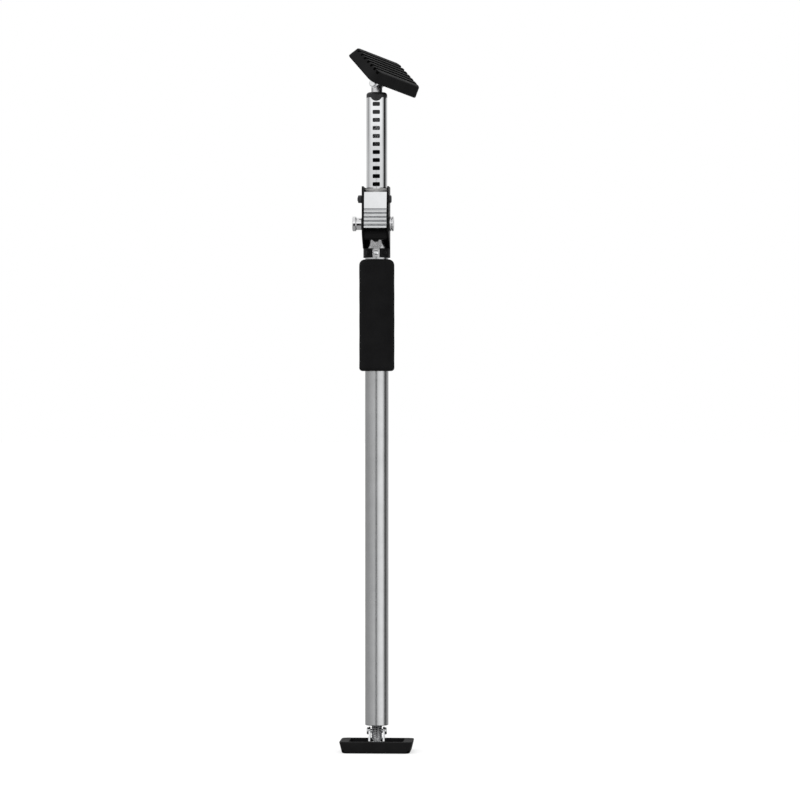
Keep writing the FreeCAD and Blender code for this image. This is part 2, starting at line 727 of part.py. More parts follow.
def stud(length):
    """Round stud with a ball-shaped end, bored for the pivot pin."""
    pin = Vector(0, 0, PIN_HEIGHT)
    shank = rod(STUD_R, pin, pin + Z * length)
    body = shank.fuse(Part.makeSphere(STUD_R, pin)).removeSplitter()
    return body.cut(across(PIN_R + FIT, 0, PIN_HEIGHT, -2 * STUD_R, 2 * STUD_R))


def foot_stud():
    return stud(OUTER_LOW_Z - PIN_HEIGHT + STUD_DEPTH)


def foot_plug():
    """Plug in the outer tube's lower end that carries the stud."""
    radius = OUTER_BORE_R - SEAT
    top = OUTER_LOW_Z + PLUG_L
    return turned([
        (STUD_R + SEAT, OUTER_LOW_Z + 0.4),
        (radius - 0.8, OUTER_LOW_Z + 0.4),
        (radius, OUTER_LOW_Z + 1.2),
        (radius, top),
        (0, top),
        (0, OUTER_LOW_Z + STUD_DEPTH + SEAT),
        (STUD_R + SEAT, OUTER_LOW_Z + STUD_DEPTH + SEAT),
    ])


# Head

def to_head(shape, spin, tilt):
    """Turns a foot piece over on its pivot pin and sets it at the head's attitude."""
    shape.translate(Z * -PIN_HEIGHT)
    shape.rotate(Vector(0, 0, 0), X, 180)
    shape.rotate(Vector(0, 0, 0), Z, HEAD_YAW_ANGLE + spin)
    yaw = math.radians(HEAD_YAW_ANGLE)
    shape.rotate(Vector(0, 0, 0), Vector(math.cos(yaw), math.sin(yaw), 0), tilt)
    shape.translate(Z * HEAD_PIN_Z)
    return shape


def head_stud():
    return to_head(stud(HEAD_PIN_Z - CAP_TOP_Z + STUD_DEPTH), 0, 0)


def head_cap():
    """End cap with a plug inside the inner tube and a round tongue front and back."""
    seat = INNER_TOP_Z + SEAT
    dome = rod(INNER_R, Z * CAP_TONGUE_LOW_Z, Z * CAP_TOP_Z)
    dome = rounded_rim(dome, CAP_TOP_Z, INNER_R, CAP_ROUND)
    upper = dome.common(rod(2 * INNER_R, Z * seat, Z * (CAP_TOP_Z + 1)))
    tongues = dome.common(cap_tongue(CAP_TONGUE_R))
    plug = rod(INNER_BORE_R - SEAT, Z * CAP_PLUG_LOW_Z, Z * CAP_TOP_Z)
    plug = plug.common(rod(2 * INNER_R, Z * CAP_PLUG_LOW_Z, Z * seat))
    cap = upper.fuse([tongues, plug]).removeSplitter()
    return cap.cut(rod(STUD_R + SEAT, Z * (CAP_TOP_Z - STUD_DEPTH - SEAT), Z * (CAP_TOP_Z + 1)))


def pieces():
    """Every node of the prop, by name."""
    return {
        "outer_tube": outer_tube(),
        "inner_tube": inner_tube(),
        "mouth_bush": mouth_bush(),
        "guide_bush": guide_bush(),
        "foam_grip": foam_grip(),
        "housing": housing(),
        "housing_rivets": housing_rivets(),
        "lever_bolt": lever_bolt(),
        "lever_nut": lever_nut(),
        "pump_lever": pump_lever(),
        "pawl_pin": pawl_pin(),
        "drive_pawl": drive_pawl(),
        "pawl_spring": pawl_spring(),
        "release_axle": release_axle(),
        "knob_left": knob_left(),
        "knob_right": knob_right(),
        "holding_pawl": holding_pawl(),
        "release_tab": release_tab(),
        "leaf_spring": leaf_spring(),
        "spring_rivet": spring_rivet(),
        "foot_plug": foot_plug(),
        "foot_stud": foot_stud(),
        "foot_pad": pad_body(),
        "foot_plate": pad_plate(),
        "foot_bracket": pad_bracket(),
        "foot_rivet": pad_rivet(),
        "foot_pin": pivot_pin(),
        "head_cap": head_cap(),
        "head_stud": head_stud(),
        "head_pad": to_head(pad_body(), HEAD_SPIN_ANGLE, HEAD_TILT_ANGLE),
        "head_plate": to_head(pad_plate(), HEAD_SPIN_ANGLE, HEAD_TILT_ANGLE),
        "head_bracket": to_head(pad_bracket(), 0, HEAD_TILT_ANGLE),
        "head_rivet": to_head(pad_rivet(), 0, HEAD_TILT_ANGLE),
        "head_pin": to_head(pivot_pin(), 0, HEAD_TILT_ANGLE),
    }


os.makedirs("parts", exist_ok=True)
for node, shape in pieces().items():
    shape.exportStep("parts/" + node + ".step")
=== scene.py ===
"""Looks of a telescopic ceiling prop: its soft and turned pieces, finishes and a pale studio."""

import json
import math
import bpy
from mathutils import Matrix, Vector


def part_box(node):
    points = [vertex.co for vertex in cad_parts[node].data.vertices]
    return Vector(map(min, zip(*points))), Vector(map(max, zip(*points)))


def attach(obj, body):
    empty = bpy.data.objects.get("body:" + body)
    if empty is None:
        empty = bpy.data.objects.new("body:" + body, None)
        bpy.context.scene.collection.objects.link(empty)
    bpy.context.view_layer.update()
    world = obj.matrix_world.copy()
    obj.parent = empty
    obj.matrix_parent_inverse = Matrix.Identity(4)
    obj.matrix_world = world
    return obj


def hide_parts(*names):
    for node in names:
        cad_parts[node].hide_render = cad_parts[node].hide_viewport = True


bl_info = {
    "name": "Ceiling prop",
    "version": (1, 0, 0),
    "blender": (4, 5, 0),
    "location": "3D View > Sidebar > Ceiling Prop",
    "description": "Soft pieces, turned pieces, finishes and studio of a telescopic ceiling prop",
    "category": "Object",
}

import bmesh
import bpy
import numpy as np
from bpy.props import FloatProperty, FloatVectorProperty, IntProperty, PointerProperty

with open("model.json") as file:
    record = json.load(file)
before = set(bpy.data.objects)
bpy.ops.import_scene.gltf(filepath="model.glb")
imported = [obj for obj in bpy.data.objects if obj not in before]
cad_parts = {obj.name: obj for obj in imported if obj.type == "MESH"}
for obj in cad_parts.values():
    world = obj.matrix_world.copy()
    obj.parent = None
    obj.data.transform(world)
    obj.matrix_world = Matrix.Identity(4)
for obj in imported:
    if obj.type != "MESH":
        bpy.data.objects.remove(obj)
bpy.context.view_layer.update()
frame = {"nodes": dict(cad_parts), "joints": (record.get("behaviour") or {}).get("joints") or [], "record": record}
JOINTS = {joint["name"]: joint for joint in frame["joints"]}
TURN = 2 * math.pi
VIEW_AZIMUTH = 3.0


# Sizes and colours that a user would change

class PadSizes(bpy.types.PropertyGroup):
    """Ribbed rubber pads at the two ends."""

    thickness: FloatProperty(
        name="Thickness", description="Pad from its gripping face to its rim",
        default=0.0142, unit="LENGTH")
    rim: FloatVectorProperty(
        name="Rim", description="Length and width at the rim",
        default=(0.088, 0.057), size=2, unit="LENGTH")
    face: FloatVectorProperty(
        name="Face", description="Length and width of the gripping face",
        default=(0.0812, 0.0514), size=2, unit="LENGTH")
    tray: FloatVectorProperty(
        name="Tray", description="Length and width of the open tray in the back",
        default=(0.065, 0.048), size=2, unit="LENGTH")
    corner: FloatProperty(
        name="Corner", description="Corner radius of the outline",
        default=0.0065, unit="LENGTH")
    floor: FloatProperty(
        name="Tray floor", description="Rubber under the tray",
        default=0.007, unit="LENGTH")
    ribs: IntProperty(
        name="Ribs", description="Ribs along the gripping face",
        default=7, min=1)
    groove_width: FloatProperty(
        name="Groove width", description="Groove between two ribs",
        default=0.0032, unit="LENGTH")
    groove_depth: FloatProperty(
        name="Groove depth", description="Depth of a groove",
        default=0.003, unit="LENGTH")
    edge_round: FloatProperty(
        name="Edge round", description="Rounding round the gripping face",
        default=0.0018, unit="LENGTH")
    pin_height: FloatProperty(
        name="Pin height", description="Pivot pin over the gripping face",
        default=0.025, unit="LENGTH")
    head_turn: FloatProperty(
        name="Head turn", description="Turn of the head pad on its rivet",
        default=math.radians(-15.3), subtype="ANGLE")


class FixingSizes(bpy.types.PropertyGroup):
    """Turned and hexagon pieces."""

    flats: FloatProperty(
        name="Across flats", description="Hexagon of the lever bolt and nut",
        default=0.008, unit="LENGTH")
    bolt_radius: FloatProperty(
        name="Bolt radius", description="Outside of the lever bolt's thread",
        default=0.0025, unit="LENGTH")
    thread_pitch: FloatProperty(
        name="Thread pitch", description="Pitch of the lever bolt's thread",
        default=0.0008, unit="LENGTH")
    knob_body: FloatProperty(
        name="Knob body", description="Radius of the release knobs' bodies",
        default=0.0073, unit="LENGTH")
    knob_flange: FloatProperty(
        name="Knob flange", description="Length of the long knob's end flange",
        default=0.0044, unit="LENGTH")
    stud_reach: FloatProperty(
        name="Stud reach", description="Rounded end of the foot stud from the pivot pin",
        default=0.0114, unit="LENGTH")
    stud_pitch: FloatProperty(
        name="Stud pitch", description="Pitch of the foot stud's thread",
        default=0.0024, unit="LENGTH")
    stud_depth: FloatProperty(
        name="Stud depth", description="Depth of the foot stud's thread",
        default=0.0009, unit="LENGTH")
    pin_radius: FloatProperty(
        name="Pin radius", description="Radius of the pivot pins between their heads",
        default=0.0025, unit="LENGTH")
    pin_head: FloatProperty(
        name="Pin head", description="Thickness of a pivot pin's head",
        default=0.0024, unit="LENGTH")


class LeverSizes(bpy.types.PropertyGroup):
    """Finger ridges of the pump lever."""

    ridge_start: FloatProperty(
        name="Ridge start", description="Height of the lowest groove",
        default=0.6303, unit="LENGTH")
    ridge_pitch: FloatProperty(
        name="Ridge pitch", description="Height from one groove to the next",
        default=0.00476, unit="LENGTH")
    ridge_rise: FloatProperty(
        name="Ridge rise", description="Rounding of a ridge over its edges",
        default=0.0007, unit="LENGTH")
    ridges: IntProperty(
        name="Ridges", description="Ridges at the lever's lower end",
        default=5, min=0)


class TubeSizes(bpy.types.PropertyGroup):
    """Insides of the tubes: rougher than their outsides, with painted shade in their bores and a painted light
    near the inner tube's top.
    """

    outer_bore: FloatProperty(
        name="Outer tube's inside", description="Radius under which the outer tube is left dark",
        default=0.01315, unit="LENGTH")
    inner_bore: FloatProperty(
        name="Inner tube's inside", description="Radius under which the inner tube is left dark",
        default=0.01115, unit="LENGTH")
    # Painted shade and painted light inside the inner tube: full painted shade under the first height, the painted
    # light over the second
    full_shade_below: FloatProperty(
        name="Dark below", description="Height where the inner tube's inside is quite dark",
        default=0.722, unit="LENGTH")
    painted_light_above: FloatProperty(
        name="Bright above", description="Height where the inner tube's inside is bright",
        default=0.748, unit="LENGTH")


class GripSizes(bpy.types.PropertyGroup):
    """Foam hand grip."""

    top_round: FloatProperty(
        name="Upper round", description="Rounding of the upper end",
        default=0.0069, unit="LENGTH")
    low_round: FloatProperty(
        name="Lower round", description="Rounding of the lower end",
        default=0.004, unit="LENGTH")
    bore: FloatProperty(
        name="Bore", description="Radius of the tube inside the grip",
        default=0.01402, unit="LENGTH")
    ripple: FloatProperty(
        name="Ripple", description="Unevenness of the foam's outside",
        default=0.00012, unit="LENGTH")


def colour(name, description, default):
    return FloatVectorProperty(
        name=name, description=description, default=default, size=3, min=0, max=1, subtype="COLOR")


class Colours(bpy.types.PropertyGroup):
    """Base colours of the finishes."""

    satin_steel: colour("Satin steel", "Outer tube", (0.55, 0.555, 0.56))
    bright_zinc: colour("Bright zinc", "Inner tube, lever and brackets", (0.80, 0.81, 0.82))
    # Painted shade: this colour of the tubes' bores stands in for the shade inside them
    bore_shade: colour("Tube inside", "Painted shade in the tubes' bores", (0.03, 0.03, 0.03))
    stud_zinc: colour("Stud zinc", "Studs", (0.60, 0.60, 0.61))
    chrome: colour("Chrome", "Release knobs", (0.86, 0.86, 0.87))
    spring_steel: colour("Spring steel", "Leaf spring and coil spring", (0.9, 0.9, 0.91))
    black_paint: colour("Black paint", "Housing, its rivets and thumb tab", (0.004, 0.004, 0.0043))
    black_oxide: colour("Black oxide", "Bolt, nut and plates", (0.045, 0.045, 0.048))
    foam: colour("Foam", "Hand grip", (0.013, 0.013, 0.0135))
    rubber: colour("Rubber", "Pads", (0.0155, 0.0155, 0.016))
    # Painted shade for the faces in the pads' grooves
    groove_rubber: colour("Groove rubber", "Grooves of the pads", (0.002, 0.002, 0.002))
    grey_plastic: colour("Grey plastic", "End cap and plugs", (0.03, 0.0305, 0.032))
    pale_plastic: colour("Pale plastic", "Mouth ring", (0.66, 0.66, 0.65))


# Surfaces

def grid_faces(rows, columns, start):
    """Quads between neighbours of a grid whose last column meets the first."""
    index = np.arange(rows * columns).reshape(rows, columns) + start
    right = np.roll(index, -1, axis=1)
    return np.stack([index[:-1], right[:-1], right[1:], index[1:]], axis=-1).reshape(-1, 4)


def sheet_faces(rows, columns, start):
    """Quads between neighbours of a grid with open edges."""
    index = np.arange(rows * columns).reshape(rows, columns) + start
    quads = np.stack([index[:-1, :-1], index[:-1, 1:], index[1:, 1:], index[1:, :-1]], axis=-1)
    return quads.reshape(-1, 4)


def surface_object(name, rounds, sheets=(), sharp=35.0):
    """One closed mesh of surfaces that go round (rounds) and open grids (sheets), seams merged."""
    points, faces, start = [], [], 0
    for grids, make_faces in ((rounds, grid_faces), (sheets, sheet_faces)):
        for grid in grids:
            rows, columns = grid.shape[:2]
            points.append(grid.reshape(-1, 3))
            faces.append(make_faces(rows, columns, start))
            start += rows * columns
    mesh = bpy.data.meshes.new(name)
    mesh.from_pydata(np.concatenate(points).tolist(), [], np.concatenate(faces).tolist())
    work = bmesh.new()
    work.from_mesh(mesh)
    bmesh.ops.remove_doubles(work, verts=work.verts, dist=2e-6)
    bmesh.ops.recalc_face_normals(work, faces=work.faces)
    work.to_mesh(mesh)
    work.free()
    mesh.polygons.foreach_set("use_smooth", np.ones(len(mesh.polygons), dtype=bool))
    mesh.set_sharp_from_angle(angle=math.radians(sharp))
    made = bpy.data.objects.new(name, mesh)
    bpy.context.scene.collection.objects.link(made)
    return made


def arc(centre, radius, start, end, steps=8):
    """Points of a circular arc in a (radius, height) profile, by angle in degrees."""
    angle = np.radians(np.linspace(start, end, steps))
    return np.stack([centre[0] + radius * np.cos(angle), centre[1] + radius * np.sin(angle)], axis=-1)


def straight(start, end, steps=6):
    """Points of a straight run in a profile, so that shading stays level along it."""
    return np.linspace(start, end, steps)


def path(*parts):
    """Profile made of points and arcs in order."""
    return np.concatenate([np.asarray(part, float).reshape(-1, 2) for part in parts])


def turned(profile, segments=96):
    """A (radius, height) profile carried round Z: x = r cos a, y = r sin a, z = h."""
    angle = np.arange(segments) * TURN / segments
    radius, height = profile[:, :1], profile[:, 1:]
    return np.stack([radius * np.cos(angle), radius * np.sin(angle), height + 0 * angle], axis=-1)


def hexagon_turned(profile, flats, segments=144):
    """A profile carried round Z, with each radius cut at the flats of a hexagon."""
    angle = np.arange(segments) * TURN / segments
    sector = (angle + TURN / 12) % (TURN / 6) - TURN / 12
    radius = np.minimum(profile[:, :1], flats / 2 / np.cos(sector))
    height = profile[:, 1:] + 0 * angle
    return np.stack([radius * np.cos(angle), radius * np.sin(angle), height], axis=-1)


def threaded(radius, depth, pitch, low, high, segments=48):
    """Screw thread: the radius falls and rises once a pitch, a turn further on for each pitch of height."""
    rows = int(round((high - low) / pitch * 10)) + 1
    height = np.linspace(low, high, rows)[:, None]
    angle = np.arange(segments) * TURN / segments
    phase = (height / pitch - angle / TURN) % 1
    ends = np.clip(np.minimum(height - low, high - height) / pitch, 0, 1)
    reach = radius - depth * (1 - ends * (1 - np.abs(2 * phase - 1)))
    wall = np.stack([reach * np.cos(angle), reach * np.sin(angle), height + 0 * angle], axis=-1)
    tips = [np.array([0, 0, z]) + 0 * wall[:1] for z in (low, high)]
    return np.concatenate([tips[0], wall, tips[1]])


def lie_along_x(grid, centre, side):
    """Lays a turned surface along X at a centre, its top to the given side; its x turns to the front."""
    x, y, z = np.moveaxis(grid, -1, 0)
    return np.stack([side * z, -x, y], axis=-1) + np.asarray(centre)


def to_head(points, turn):
    """Moves points from the foot's frame to the head's: pin meets pin, and the face points out."""
    pads = bpy.context.scene.ceiling_prop_pads
    along = np.array(JOINTS["head_tilt"]["axis"])
    out = np.array(JOINTS["head_spin"]["axis"])
    long_side = math.cos(turn) * along + math.sin(turn) * np.cross(out, along)
    short_side = np.cross(long_side, out)
    local = points - np.array([0, 0, pads.pin_height])
    return np.array(JOINTS["head_tilt"]["pos_m"]) + local @ np.stack([long_side, short_side, -out])


def add_piece(piece, finish, body, slot, *nodes):
    """Gives a piece its finish and its body, and lets it stand for CAD nodes."""
    piece.data.materials.append(finish)
    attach(piece, body)
    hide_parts(*nodes)
    return piece


# Shader groups

def new_group(name, inputs, outputs):
    group = bpy.data.node_groups.new(name, "ShaderNodeTree")
    for label, kind in inputs:
        group.interface.new_socket(name=label, in_out="INPUT", socket_type=kind)
    for label, kind in outputs:
        group.interface.new_socket(name=label, in_out="OUTPUT", socket_type=kind)
    return group, group.nodes.new("NodeGroupInput"), group.nodes.new("NodeGroupOutput")


def math_node(tree, operation, first, second=None):
    node = tree.nodes.new("ShaderNodeMath")
    node.operation = operation
    for socket, value in zip(node.inputs, (first, second)):
        if isinstance(value, (int, float)):
            socket.default_value = value
        elif value is not None:
            tree.links.new(value, socket)
    return node.outputs[0]


def spread(tree, value, low, high, to_low=0.0, to_high=1.0):
    """Map Range node: low to high becomes to_low to to_high, held at the ends."""
    node = tree.nodes.new("ShaderNodeMapRange")
    for label, number in (("From Min", low), ("From Max", high), ("To Min", to_low), ("To Max", to_high)):
        node.inputs[label].default_value = number
    tree.links.new(value, node.inputs["Value"])
    return node.outputs["Result"]


def noise(tree, vector, scale, detail=3.0, roughness=0.55, distortion=0.0):
    node = tree.nodes.new("ShaderNodeTexNoise")
    node.inputs["Detail"].default_value = detail
    node.inputs["Roughness"].default_value = roughness
    node.inputs["Distortion"].default_value = distortion
    if isinstance(scale, (int, float)):
        node.inputs["Scale"].default_value = scale
    else:
        tree.links.new(scale, node.inputs["Scale"])
    tree.links.new(vector, node.inputs["Vector"])
    return node.outputs["Fac"]


def streaks_group():
    """Drawn grain: noise squeezed across and stretched along one axis."""
    tree, inside, outside = new_group(
        "drawn streaks",
        [("Vector", "NodeSocketVector"), ("Stretch", "NodeSocketVector")],
        [("Mask", "NodeSocketFloat")])
    scaled = tree.nodes.new("ShaderNodeVectorMath")
    scaled.operation = "MULTIPLY"
    tree.links.new(inside.outputs["Vector"], scaled.inputs[0])
    tree.links.new(inside.outputs["Stretch"], scaled.inputs[1])
    grain = noise(tree, scaled.outputs[0], 1.0, detail=5.0, roughness=0.65)
    tree.links.new(spread(tree, grain, 0.3, 0.7), outside.inputs["Mask"])
    return tree


def scratches_group():
    """Thin scratches: the lines where a twisted noise passes its middle, kept in a few patches."""
    tree, inside, outside = new_group(
        "thin scratches",
        [("Vector", "NodeSocketVector"), ("Scale", "NodeSocketFloat")],
        [("Mask", "NodeSocketFloat")])
    twisted = noise(tree, inside.outputs["Vector"], inside.outputs["Scale"], 2.0, 0.5, 1.6)
    away = math_node(tree, "ABSOLUTE", math_node(tree, "SUBTRACT", twisted, 0.5))
    lines = spread(tree, away, 0.0, 0.008, 1.0, 0.0)
    patches = noise(tree, inside.outputs["Vector"], 60.0, 1.0)
    kept = math_node(tree, "MULTIPLY", lines, spread(tree, patches, 0.52, 0.66))
    tree.links.new(kept, outside.inputs["Mask"])
    return tree


def mottle_group():
    """Cloudy tone: coarse noise with a finer one over it."""
    tree, inside, outside = new_group(
        "cloudy tone",
        [("Vector", "NodeSocketVector"), ("Scale", "NodeSocketFloat")],
        [("Mask", "NodeSocketFloat")])
    clouds = noise(tree, inside.outputs["Vector"], inside.outputs["Scale"], 6.0, 0.6)
    tree.links.new(spread(tree, clouds, 0.32, 0.68), outside.inputs["Mask"])
    return tree


def pits_group():
    """Small rounded cells with a fine tooth on them, as on foam skin, rubber and powder coat."""
    tree, inside, outside = new_group(
        "fine pits",
        [("Vector", "NodeSocketVector"), ("Scale", "NodeSocketFloat")],
        [("Height", "NodeSocketFloat")])
    cells = tree.nodes.new("ShaderNodeTexVoronoi")
    cells.feature = "SMOOTH_F1"
    tree.links.new(inside.outputs["Vector"], cells.inputs["Vector"])
    tree.links.new(inside.outputs["Scale"], cells.inputs["Scale"])
    finer = math_node(tree, "MULTIPLY", inside.outputs["Scale"], 2.3)
    tooth = noise(tree, inside.outputs["Vector"], finer, 2.0)
    both = math_node(tree, "ADD", cells.outputs["Distance"], math_node(tree, "MULTIPLY", tooth, 0.5))
    tree.links.new(both, outside.inputs["Height"])
    return tree


def ridges_group():
    """Rounded ridges up Z: from one pitch under the start, each pitch rises and falls as 4 t (1 - t)."""
    tree, inside, outside = new_group(
        "finger ridges",
        [("Vector", "NodeSocketVector"), ("Start", "NodeSocketFloat"), ("Pitch", "NodeSocketFloat"),
         ("Count", "NodeSocketFloat")],
        [("Height", "NodeSocketFloat")])
    parts = tree.nodes.new("ShaderNodeSeparateXYZ")
    tree.links.new(inside.outputs["Vector"], parts.inputs[0])
    rise = math_node(tree, "SUBTRACT", parts.outputs["Z"], inside.outputs["Start"])
    phase = math_node(tree, "ADD", math_node(tree, "DIVIDE", rise, inside.outputs["Pitch"]), 1.0)
    share = math_node(tree, "FRACT", phase)
    fall = math_node(tree, "SUBTRACT", 4.0, math_node(tree, "MULTIPLY", share, 4.0))
    bulge = math_node(tree, "MULTIPLY", share, fall)
    over = math_node(tree, "GREATER_THAN", phase, 0.0)
    under = math_node(tree, "LESS_THAN", phase, inside.outputs["Count"])
    kept = math_node(tree, "MULTIPLY", bulge, math_node(tree, "MULTIPLY", over, under))
    tree.links.new(kept, outside.inputs["Height"])
    return tree


GROUP_MAKERS = {
    "drawn streaks": streaks_group,
    "thin scratches": scratches_group,
    "cloudy tone": mottle_group,
    "fine pits": pits_group,
    "finger ridges": ridges_group,
}


class Finish:
    """One material with a Principled shader, and short ways to place the shared effects in it."""

    def __init__(self, name, metallic, base, **fixed):
        self.material = bpy.data.materials.new(name)
        self.material.use_nodes = True
        self.tree = self.material.node_tree
        self.shader = self.tree.nodes["Principled BSDF"]
        self.shader.inputs["Metallic"].default_value = metallic
        self.shader.inputs["Base Color"].default_value = (*base, 1.0)
        for label, value in fixed.items():
            self.shader.inputs[label.replace("_", " ")].default_value = value
        self.base = tuple(base)
        self.place = self.tree.nodes.new("ShaderNodeTexCoord").outputs["Object"]

    def effect(self, name, **settings):
        """Places a shared effect and returns its output."""
        group = bpy.data.node_groups.get(name) or GROUP_MAKERS[name]()
        node = self.tree.nodes.new("ShaderNodeGroup")
        node.node_tree = group
        self.tree.links.new(self.place, node.inputs["Vector"])
        for label, value in settings.items():
            node.inputs[label].default_value = value
        return node.outputs[0]

    def mix(self, mask, first, second):
        """Colour that goes from first to second with a mask."""
        node = self.tree.nodes.new("ShaderNodeMix")
        node.data_type = "RGBA"
        self.tree.links.new(mask, node.inputs[0])
        for socket, value in ((node.inputs[6], first), (node.inputs[7], second)):
            if isinstance(value, tuple):
                socket.default_value = (*value, 1.0)
            else:
                self.tree.links.new(value, socket)
        return node.outputs[2]

    def shade(self, factor):
        return tuple(min(part * factor, 1.0) for part in self.base)

    def inside_of(self, radius):
        """Mask of the surface nearer to the tube's axis than a radius."""
        flat = self.tree.nodes.new("ShaderNodeVectorMath")
        flat.operation = "MULTIPLY"
        flat.inputs[1].default_value = (1, 1, 0)
        self.tree.links.new(self.place, flat.inputs[0])
        length = self.tree.nodes.new("ShaderNodeVectorMath")
        length.operation = "LENGTH"
        self.tree.links.new(flat.outputs[0], length.inputs[0])
        return math_node(self.tree, "LESS_THAN", length.outputs["Value"], radius)

    def height(self):
        """Height of the surface in the shared frame."""
        parts = self.tree.nodes.new("ShaderNodeSeparateXYZ")
        self.tree.links.new(self.place, parts.inputs[0])
        return parts.outputs["Z"]

    def set(self, label, value):
        self.tree.links.new(value, self.shader.inputs[label])

    def bump(self, height, distance):
        node = self.tree.nodes.new("ShaderNodeBump")
        node.inputs["Distance"].default_value = distance
        node.inputs["Strength"].default_value = 1.0
        self.tree.links.new(height, node.inputs["Height"])
        self.tree.links.new(node.outputs["Normal"], self.shader.inputs["Normal"])


def drawn_metal(name, base, roughness, stretch, bore=None, lit=None, depth=0.000004, ridged=False):
    """Plated steel with drawn grain, thin scratches and a cloudy tone.

    A tube's bore is rougher and painted dark as shade, turning to a painted light towards its top where lit is
    given; a lever's face is ridged.
    """
    finish = Finish(name, 1.0, base)
    grain = finish.effect("drawn streaks", Stretch=stretch)
    clouds = finish.effect("cloudy tone", Scale=38.0)
    marks = finish.effect("thin scratches", Scale=240.0)
    tone = finish.mix(clouds, finish.shade(0.93), finish.shade(1.04))
    tone = finish.mix(marks, tone, finish.shade(0.78))
    # Painted shade in the bore, and with lit a painted light over it from the lower height up to the upper
    if bore:
        inside = base_colour("bore_shade")
        if lit:
            inside = finish.mix(spread(finish.tree, finish.height(), *lit), inside, finish.shade(0.85))
        within = finish.inside_of(bore)
        tone = finish.mix(within, tone, inside)
    finish.set("Base Color", tone)
    rough = spread(finish.tree, grain, 0.0, 1.0, roughness[0], roughness[1])
    rough = math_node(finish.tree, "ADD", rough, math_node(finish.tree, "MULTIPLY", marks, 0.12))
    if bore:
        rough = math_node(finish.tree, "ADD", rough, math_node(finish.tree, "MULTIPLY", within, 0.4))
    finish.set("Roughness", rough)
    height = math_node(finish.tree, "MULTIPLY", grain, depth)
    if ridged:
        lever = bpy.context.scene.ceiling_prop_lever
        bulge = finish.effect(
            "finger ridges", Start=lever.ridge_start, Pitch=lever.ridge_pitch, Count=lever.ridges)
        bulge = math_node(finish.tree, "MULTIPLY", bulge, lever.ridge_rise)
        height = math_node(finish.tree, "ADD", height, bulge)
    finish.bump(height, 1.0)
    return finish.material


def pitted_coat(name, base, roughness, scale, depth, pale, metallic=0.0, **fixed):
    """Dark coat or moulding: fine pits, a cloudy tone and pale scuffs."""
    finish = Finish(name, metallic, base, **fixed)
    clouds = finish.effect("cloudy tone", Scale=55.0)
    marks = finish.effect("thin scratches", Scale=150.0)
    pits = finish.effect("fine pits", Scale=scale)
    tone = finish.mix(clouds, finish.shade(0.85), finish.shade(1.2))
    finish.set("Base Color", finish.mix(marks, tone, finish.shade(pale)))
    finish.set("Roughness", spread(finish.tree, clouds, 0.0, 1.0, roughness[0], roughness[1]))
    finish.bump(pits, depth)
    return finish.material


def finish_of(kind):
    """Material of a kind of finish, made when it is first asked for."""
    name = "finish " + kind.replace("_", " ")
    return bpy.data.materials.get(name) or FINISHES[kind](name)


def base_colour(name):
    return tuple(getattr(bpy.context.scene.ceiling_prop_colours, name))


def tubes():
    return bpy.context.scene.ceiling_prop_tubes


FINISHES = {
    "satin_steel": lambda name: drawn_metal(
        name, base_colour("satin_steel"), (0.20, 0.28), (420, 420, 14), bore=tubes().outer_bore),
    # The inner tube's bore gets painted shade and a painted light near its top
    "bright_tube": lambda name: drawn_metal(
        name, base_colour("bright_zinc"), (0.07, 0.13), (380, 380, 10),
        bore=tubes().inner_bore, lit=(tubes().full_shade_below, tubes().painted_light_above)),
    "bright_zinc": lambda name: drawn_metal(
        name, base_colour("bright_zinc"), (0.16, 0.28), (30, 380, 380)),
    "ridged_zinc": lambda name: drawn_metal(
        name, base_colour("bright_zinc"), (0.08, 0.14), (30, 380, 380), ridged=True),
    "stud_zinc": lambda name: drawn_metal(
        name, base_colour("stud_zinc"), (0.18, 0.26), (300, 300, 300)),
    "chrome": lambda name: drawn_metal(
        name, base_colour("chrome"), (0.05, 0.10), (520, 90, 90), depth=0.000002),
    "spring_steel": lambda name: drawn_metal(
        name, base_colour("spring_steel"), (0.20, 0.32), (500, 500, 25)),
    "black_paint": lambda name: pitted_coat(
        name, base_colour("black_paint"), (0.36, 0.48), 1500.0, 0.00004, 3.0, Specular_IOR_Level=0.12),
    "black_oxide": lambda name: pitted_coat(
        name, base_colour("black_oxide"), (0.36, 0.50), 2200.0, 0.00002, 2.2, metallic=0.6),
    "foam": lambda name: pitted_coat(
        name, base_colour("foam"), (0.74, 0.88), 900.0, 0.00025, 1.4, Specular_IOR_Level=0.03),
    "rubber": lambda name: pitted_coat(
        name, base_colour("rubber"), (0.46, 0.60), 1300.0, 0.00003, 2.0, Specular_IOR_Level=0.05),
    # Painted shade in the pads' grooves
    "groove_rubber": lambda name: pitted_coat(
        name, base_colour("groove_rubber"), (0.7, 0.8), 1300.0, 0.00003, 1.2, Specular_IOR_Level=0.02),
    "grey_plastic": lambda name: pitted_coat(
        name, base_colour("grey_plastic"), (0.34, 0.44), 1800.0, 0.00002, 1.3, Specular_IOR_Level=0.3),
    "pale_plastic": lambda name: pitted_coat(
        name, base_colour("pale_plastic"), (0.34, 0.46), 1800.0, 0.00002, 0.8),
}


# Pieces

